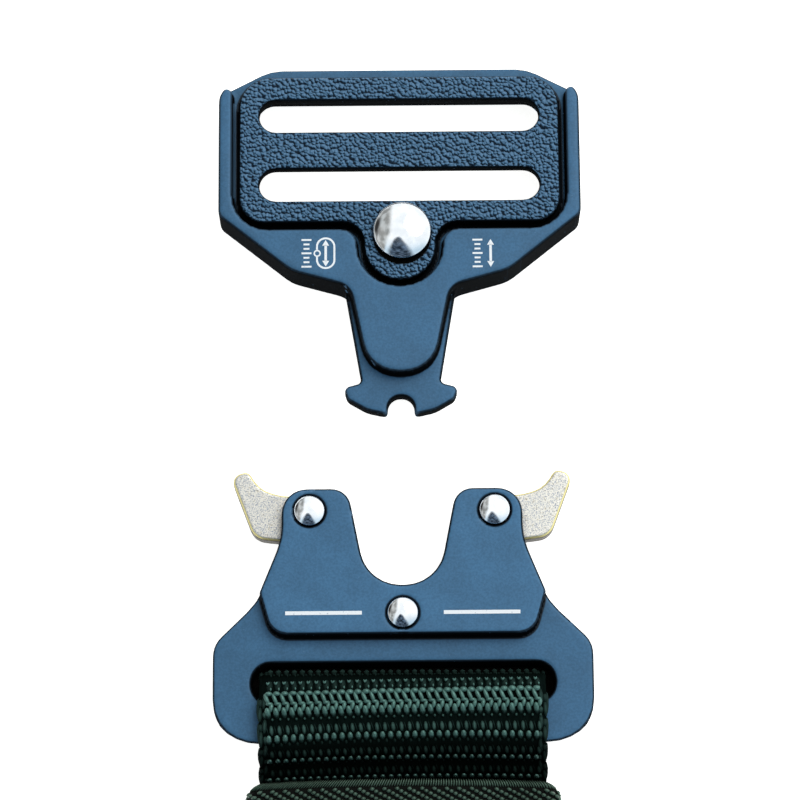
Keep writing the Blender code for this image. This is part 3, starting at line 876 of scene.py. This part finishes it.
def webbing_row(looks, opened=False):
    """One row of the webbing's weave, flat, with its selvedges: knuckles that fall away towards
    the next row, leaf-shaped floats and dots. Over the bar the bend opens the row to a net of
    arcs and slanted strands."""
    pitch, row = looks.column_pitch / MM, looks.row_pitch / MM
    work = bmesh.new()
    first = -(WEBBING_RIBS - 1) / 2 * pitch
    if opened:
        for side in (-1, 1):
            place = (first - 0.13 + 0.10 * side, -0.44 * row, 0.82)
            add_bead(work, place, (0.14, 0.20, 0.26), lean=-0.45 * side, **SMALL)
        add_bead(work, (first + 0.20, -0.92 * row, 0.50), (0.14, 0.20, 0.24), **SMALL)
        add_bead(work, (first + 0.10, -0.40 * row, 0.34), (0.44, 0.80, 0.36), **SMALL)
        add_bead(work, (first + 0.30, -0.25 * row, 0.82), (0.13, 0.18, 0.24), **SMALL)
        add_bead(work, (first, -0.10 * row, 0.80), (0.56, 0.30, 0.30))
        add_bead(work, (first - 0.24, 0.11 * row, 0.80), (0.34, 0.80, 0.32), lean=0.36)
        add_bead(work, (first + 0.12, 0.30 * row, 0.78), (0.54, 0.27, 0.30))
        add_bead(work, (first + 0.37, 0.45 * row, 0.80), (0.33, 0.62, 0.32), lean=-0.17)
        add_bead(work, (first - 0.06, 0.68 * row, 0.66), (0.42, 0.78, 0.44), lean=0.12, rise=-0.42)
        add_bead(work, (first + 0.48, 0.94 * row, 0.66), (0.18, 0.22, 0.28), **SMALL)
    else:
        add_bead(work, (first, 0.75 * row, 0.66), (0.41, 0.56, 0.44), rise=-0.5)
        add_bead(work, (first + 0.34, 0.39 * row, 0.56), (0.32, 0.74, 0.38), lean=0.08)
        add_bead(work, (first - 0.25, 0.32 * row, 0.24), (0.16, 0.85, 0.26), lean=0.3, **SMALL)
        add_bead(work, (first + pitch / 2, 0.93 * row, 0.36), (0.20, 0.26, 0.26), **SMALL)
    repeat(work, WEBBING_RIBS, (looks.column_pitch, 0, 0))
    edges = bmesh.new()
    for side in (-1, 1):
        for x, start in ((17.95, 0.2), (18.5, 0.7)):
            add_bead(edges, (side * x, start * row, 0.42), (0.34, 1.05, 0.40), lean=0.08 * side)
        add_bead(edges, (side * 17.9, 0.75 * row, 0.46), (0.36, 0.5, 0.42), rise=-0.3)
        add_bead(edges, (side * 18.45, 0.25 * row, 0.36), (0.34, 0.55, 0.38))
        add_bead(edges, (side * 18.72, 0.45 * row, 0.0), (0.28, 1.5, 0.62))
    join(work, edges)
    return work


class Strap:
    """The webbing's way through the buckle, and its rows of weave."""

    def __init__(self, looks):
        self.looks = looks
        self.line = Line(STRAP_CORNERS)
        self.crest = self.along_at(-12.4, True)
        # Row 0 is the rib on the bend
        self.phase = self.along_at(-13.3, True) - 0.72 * looks.row_pitch

    def along_at(self, y, upper):
        """How far along its middle line it passes that y, on its lower or its upper run."""
        steps = 3000
        places = (self.line.long * step / steps for step in range(steps + 1))
        return min(
            (along for along in places if (along > STRAP_TURN) == upper),
            key=lambda along: abs(self.line.at(along)[0].x - y * MM),
        )

    def place_of(self, flat):
        """Where a point of the flat cloth lies."""
        past = flat.y - self.crest
        # The rows lie a little askew at the bend and bowed past it, and closer under the keeper
        near_bend = max(0.0, 1 - abs(past) / (30 * MM))
        bow = 0.1 * near_bend + 0.3 * clamp(past / (4 * MM))
        bow *= 1 - (flat.x / (19 * MM)) ** 2
        fade_in = (past - 5.2 * MM) / (6 * MM)
        fade_out = (60 * MM - past) / (20 * MM)
        closer = 1.45 * clamp(min(fade_in, fade_out))
        along = flat.y - 0.014 * flat.x * near_bend - (bow + closer) * MM
        spot = self.line.lift(along, flat.z)
        # The bend over the bar spreads the webbing a little
        spread = 1 + 0.012 * max(0.0, 1 - abs(past) / (7 * MM))
        return Vector((flat.x * spread - CLOTH_ASIDE, spot.x + FEMALE_Y, spot.y))

    def add_rows(self, work, first, stop, flip=False, opened=False):
        """Adds rows of weave from one row's number up to another's."""
        pitch = self.looks.row_pitch
        rows = webbing_row(self.looks, opened)
        repeat(rows, stop - first, (0, pitch, 0))
        join(work, rows, (0, self.phase + first * pitch, 0), flip)

    def rows_between(self, start, end):
        """The numbers of the first whole row between two places and of the row after the last."""
        pitch = self.looks.row_pitch
        return math.ceil((start - self.phase) / pitch), math.floor((end - self.phase) / pitch)

    def finish(self, work, name, materials):
        """Lays the yarns, gives the second material, a dull copy as painted shade, to those that lie low,
        and shows them.
        """
        lay_cloth(work, self.place_of)
        lay = work.verts.layers.float_vector["lay"]
        for face in work.faces:
            middle = sum(vert[lay].z for vert in face.verts) / len(face.verts)
            face.material_index = 1 if middle < SHADED_BELOW_HEIGHT else 0
        show(work, name, materials, "root", ("webbing_strap",))


def make_webbing(looks):
    """The webbing as a dark core with yarns on each face that shows."""
    strap = Strap(looks)
    long = strap.line.long
    core = flat_core(37.3 * MM, long, 12, 320, (0, long / 2), 0.42 * MM, 0.84 * MM)
    lay_cloth(core, strap.place_of)
    # The core is painted near black as painted shade between the yarns, and a little paler on the bend as
    # painted light
    inner = woven_nylon(
        "inner_nylon_yarns", looks.deep_colour, looks.deep_colour, (0.3, 0.5), 0.2, 0.0, "FFFFFF",
        worn=(Vector(looks.crest_lit_colour) * 0.05, strap.crest, 1.0),
    )
    show(core, "webbing_core", (inner,), "root", ("webbing_strap",))

    # Yarns that lie low get the dull copy as painted shade; yarns on the bend are painted paler as painted
    # light
    nylon = [
        woven_nylon(
            name, looks.yarn_colour, looks.deep_colour, (0.64, 1.04), 0.09, gloss, "BCFFF3",
            worn=(looks.crest_lit_colour, strap.crest, 0.2),
        )
        for name, gloss in (("ribbed_nylon_webbing", 0.85), ("nylon_in_painted_shade", 0.06))
    ]
    # From under the keeper through the slot and back to the keeper
    loop = bmesh.new()
    first, stop = strap.rows_between(strap.along_at(-23.4, False), strap.along_at(-24.0, True))
    strap.add_rows(loop, first, -1)
    strap.add_rows(loop, 0, 1, opened=True)
    strap.add_rows(loop, 1, stop)
    strap.finish(loop, "webbing_yarns", nylon)
    # Past the keeper: the sewn end below, and the free end above with both its faces
    ends = bmesh.new()
    strap.add_rows(ends, *strap.rows_between(0.4 * MM, strap.along_at(-52.4, False)))
    strap.add_rows(ends, *strap.rows_between(strap.along_at(-51.6, True), long))
    strap.add_rows(ends, *strap.rows_between(strap.along_at(-74.5, True), long), flip=True)
    strap.finish(ends, "webbing_end_yarns", nylon)

    # Four seams hold the folded end: short thread stitches across the belt
    seams = bmesh.new()
    for y in (-59.5, -62.5, -69.0, -71.5):
        row = bmesh.new()
        add_bead(row, (0, 0, 0), (0.95, 0.26, 0.2), rings=6)
        bmesh.ops.translate(row, verts=row.verts, vec=(-16.8 * MM, strap.along_at(y, True), 1.0 * MM))
        repeat(row, 15, (2.4 * MM, 0, 0))
        join(seams, row)
    lay_cloth(seams, strap.place_of)
    thread = woven_nylon(
        "bonded_thread", looks.thread_colour, looks.deep_colour, (0.8, 1.05), 0.12, 0.8, "B4E0D4"
    )
    show(seams, "fold_seams", (thread,), "root")


def make_keeper(looks):
    """The elastic band: a thin loop with diagonal rows of raised yarns, bound along each edge."""
    line = Line(KEEPER_CORNERS)
    half = 20 * MM

    def place_of(flat):
        # The band is drawn in at its edges, bowed along the belt and crowned on top
        spot = line.lift(flat.x % line.long, flat.z)
        from_edge = min(flat.y, KEEPER_LONG - flat.y)
        drawn = 1.5 * MM * max(0.0, 1.0 - from_edge / (2.3 * MM)) ** 2.5
        middle = 1 - (spot.x / half) ** 2
        bow = 0.45 * MM * middle
        crown = 0.12 * MM * middle if spot.y > 3 * MM else 0.0
        x = spot.x * (1.01 - drawn / half) - CLOTH_ASIDE
        return Vector((x, FEMALE_Y + KEEPER_FRONT - flat.y + bow, spot.y + crown))

    core = flat_core(
        line.long, KEEPER_LONG - 0.8 * MM, 160, 30, (line.long / 2, KEEPER_LONG / 2),
        0.22 * MM, 0.40 * MM,
    )
    # The two ends meet under the middle, and neither may pass the line's end
    for vert in core.verts:
        vert.co.x = min(max(vert.co.x, 1e-9), line.long * (1 - 1e-9))
    lay_cloth(core, place_of)
    deep = looks.elastic_deep_colour
    # The core is painted near black as painted shade between the yarns
    rubber = woven_nylon("elastic_core", deep, deep, (0.3, 0.5), 0.2, 0.05, "FFFFFF")
    show(core, "keeper_core", (rubber,), "root", ("elastic_keeper",))

    # Three beads of a slanted chain stand side by side in one pitch
    edge_wide, row_pitch = 1.35 * MM, 0.315 * MM
    work = bmesh.new()
    count = round(line.long / (1.61 * MM))
    pitch = line.long / count
    add_bead(work, (0, 0, 0.28), (0.34, 0.27, 0.30), **SMALL)
    repeat(work, count, (pitch, 0, 0))
    repeat(work, int((KEEPER_LONG - 2 * edge_wide) / row_pitch), (-pitch / 3, row_pitch, 0))
    bmesh.ops.translate(work, verts=work.verts, vec=(0, edge_wide, 0))
    # Slanted strands bind each edge
    for start in (0.55 * MM, KEEPER_LONG - 0.55 * MM):
        edge = bmesh.new()
        count = round(line.long / (0.34 * MM))
        add_bead(edge, (0, 0, 0.10), (0.16, 0.58, 0.38), lean=0.35)
        repeat(edge, count, (line.long / count, 0, 0))
        join(work, edge, (0, start, 0))
    lay_cloth(work, place_of)
    elastic = woven_nylon("woven_elastic", looks.elastic_colour, deep, (0.2, 0.42), 0.12, 0.35, "DCFFE2")
    show(work, "keeper_yarns", (elastic,), "root", ("elastic_keeper",))


class BELT_OT_castings(bpy.types.Operator):
    """Makes the two buckle halves and the grained plate with soft cast edges"""
    bl_idname = "belt.castings"
    bl_label = "Castings"

    def execute(self, context):
        looks = context.scene.belt_castings
        rounds = looks.edge_rounds
        # The second coat is a dull copy of the first, as painted shade on walls, fillets and painted
        # shadows
        coat = (coated_zinc(looks), coated_zinc(looks, "powder_coat_in_painted_shade", 0.03))
        for node, name, shape, beside in (
            ("female_frame", "frame_casting", undercut, ("cover_plate", 0.2 * MM, 0.5 * MM)),
            ("cover_plate", "cover_casting", snug, None),
            ("male_body", "body_casting", None, ("adjuster_plate", 0.0, 0.72 * MM)),
        ):
            cast_copy(
                node, name, looks.casting_grid, rounds, coat,
                shape=shape, beside=beside,
            )
        # The third material is the painted shadow under the big rivet's head
        grain = (grained_zinc(looks), coat[1], painted_rivet_shadow())
        cast_copy(
            "adjuster_plate", "grained_plate", looks.plate_grid, rounds, grain,
            sunk=under_head,
        )
        return {"FINISHED"}


class BELT_OT_levers(bpy.types.Operator):
    """Makes the two brass release levers"""
    bl_idname = "belt.levers"
    bl_label = "Levers"

    def execute(self, context):
        looks = context.scene.belt_castings
        brass = (tumbled_brass(looks),)
        for lever in ("lever_left", "lever_right"):
            cast_copy(
                lever, "brass_" + lever, looks.lever_grid, looks.edge_rounds, brass,
                lever,
            )
        return {"FINISHED"}


class BELT_OT_rivets(bpy.types.Operator):
    """Turns the four rivets"""
    bl_idname = "belt.rivets"
    bl_label = "Rivets"

    def execute(self, context):
        chrome = chromed_steel()
        for side, x, y in RIVETS:
            rivet(
                "domed_rivet_" + side, "rivet_" + side, x * MM, FEMALE_Y + y * MM,
                head=2.0, edge=7.2, crown=7.85, under=5.2, shank=1.5, foot=2.4, chrome=chrome,
            )
        rivet(
            "domed_rivet_big", "adjuster_rivet", 0.3 * MM, MALE_Y + 0.08 * MM,
            head=3.93, edge=7.3, crown=8.6, under=7.0, shank=2.0, foot=2.7, chrome=chrome,
        )
        return {"FINISHED"}


class BELT_OT_marks(bpy.types.Operator):
    """Prints the white lines, arrows, ring and graduations"""
    bl_idname = "belt.marks"
    bl_label = "Printed marks"

    def execute(self, context):
        ink = (printed_ink(context.scene.belt_castings),)
        female = bmesh.new()
        for side in (-1, 1):
            bar_mark(female, side * 10.45, FEMALE_Y / MM, 10.1, 0.5, COVER_TOP)
        male = bmesh.new()
        centre = MALE_Y / MM - 2.9
        ring_mark(male, -10.05, centre, 1.31, 2.24, 0.26, BODY_TOP, broken=0.5)
        ring_mark(male, -11.2, centre - 0.02, 0.5, 0.5, 0.2, BODY_TOP, sides=24)
        double_arrow(male, -10.05, centre - 1.87, centre + 1.87, BODY_TOP)
        double_arrow(male, 12.27, centre - 2.1, centre + 1.82, BODY_TOP)
        # Every third of the seven graduations on each side is long
        for x, y in ((-12.65, centre), (10.5, centre - 0.14)):
            for index in range(7):
                width = 1.35 if index % 3 == 0 else 0.8
                bar_mark(male, x, y + (index - 3) * 0.63, width, 0.25, BODY_TOP)
        for work, name in ((female, "cover_lines"), (male, "body_marks")):
            bmesh.ops.recalc_face_normals(work, faces=work.faces)
            show(work, name, ink, "root", smooth=False)
        return {"FINISHED"}


class BELT_OT_webbing(bpy.types.Operator):
    """Weaves the webbing and sews its folded end"""
    bl_idname = "belt.webbing"
    bl_label = "Webbing"

    def execute(self, context):
        make_webbing(context.scene.belt_webbing)
        return {"FINISHED"}


class BELT_OT_keeper(bpy.types.Operator):
    """Weaves the elastic keeper"""
    bl_idname = "belt.keeper"
    bl_label = "Keeper"

    def execute(self, context):
        make_keeper(context.scene.belt_webbing)
        return {"FINISHED"}


class BELT_OT_stage(bpy.types.Operator):
    """Sets the floor, the soft studio light and the camera"""
    bl_idname = "belt.stage"
    bl_label = "Stage"

    def execute(self, context):
        looks = context.scene.belt_stage
        scene = context.scene
        scene.view_settings.view_transform = "Standard"

        work = bmesh.new()
        bmesh.ops.create_circle(work, cap_ends=True, segments=96, radius=3.0)
        bmesh.ops.translate(work, verts=work.verts, vec=(0, 0, -0.05 * MM))
        floor = add_object("floor", mesh_of(work, "floor"))
        floor.data.materials.append(frosted_acrylic(looks))

        scene.world = studio_world(looks)
        lamp = bpy.data.lights.new("key", "AREA")
        lamp.shape = "DISK"
        lamp.size = KEY_SIZE
        lamp.energy = looks.key_power
        lamp.color = hex_colour("FFFDF8")
        key = add_object("key", lamp)
        key.location = KEY_AIM + KEY_AWAY
        key.rotation_euler = (KEY_AIM - key.location).to_track_quat("-Z", "Y").to_euler()

        lens = bpy.data.cameras.new("camera")
        lens.sensor_width = SENSOR_WIDTH
        lens.lens = CAMERA_LENS
        camera = add_object("camera", lens)
        back = Vector((0.0, -math.sin(CAMERA_TILT), math.cos(CAMERA_TILT)))
        camera.matrix_world = (
            Matrix.Translation(CAMERA_TARGET + back * CAMERA_AWAY)
            @ Matrix.Rotation(CAMERA_TILT, 4, "X")
            @ Matrix.Rotation(CAMERA_ROLL, 4, "Z")
        )
        scene.camera = camera
        return {"FINISHED"}


OPERATORS = (
    BELT_OT_stage, BELT_OT_castings, BELT_OT_levers, BELT_OT_rivets, BELT_OT_marks, BELT_OT_webbing,
    BELT_OT_keeper,
)
SETTINGS = (
    ("belt_castings", CastingLooks), ("belt_webbing", WebbingLooks), ("belt_stage", StageLooks),
)


class BELT_PT_panel(bpy.types.Panel):
    """Lists the belt's pieces in the sidebar"""
    bl_idname = "BELT_PT_panel"
    bl_label = "Canvas belt"
    bl_space_type = "VIEW_3D"
    bl_region_type = "UI"
    bl_category = "Belt"

    def draw(self, context):
        for operator in OPERATORS:
            self.layout.operator(operator.bl_idname)
        for name, group in SETTINGS:
            box = self.layout.box()
            for key in group.__annotations__:
                box.prop(getattr(context.scene, name), key)


def register():
    for name, group in SETTINGS:
        bpy.utils.register_class(group)
        setattr(bpy.types.Scene, name, bpy.props.PointerProperty(type=group))
    for operator in OPERATORS:
        bpy.utils.register_class(operator)
    bpy.utils.register_class(BELT_PT_panel)


def unregister():
    bpy.utils.unregister_class(BELT_PT_panel)
    for operator in reversed(OPERATORS):
        bpy.utils.unregister_class(operator)
    for name, group in reversed(SETTINGS):
        delattr(bpy.types.Scene, name)
        bpy.utils.unregister_class(group)


def main():
    register()
    bpy.ops.belt.stage()
    bpy.ops.belt.castings()
    bpy.ops.belt.levers()
    bpy.ops.belt.rivets()
    bpy.ops.belt.marks()
    bpy.ops.belt.webbing()
    bpy.ops.belt.keeper()


if __name__ == "__main__":
    main()
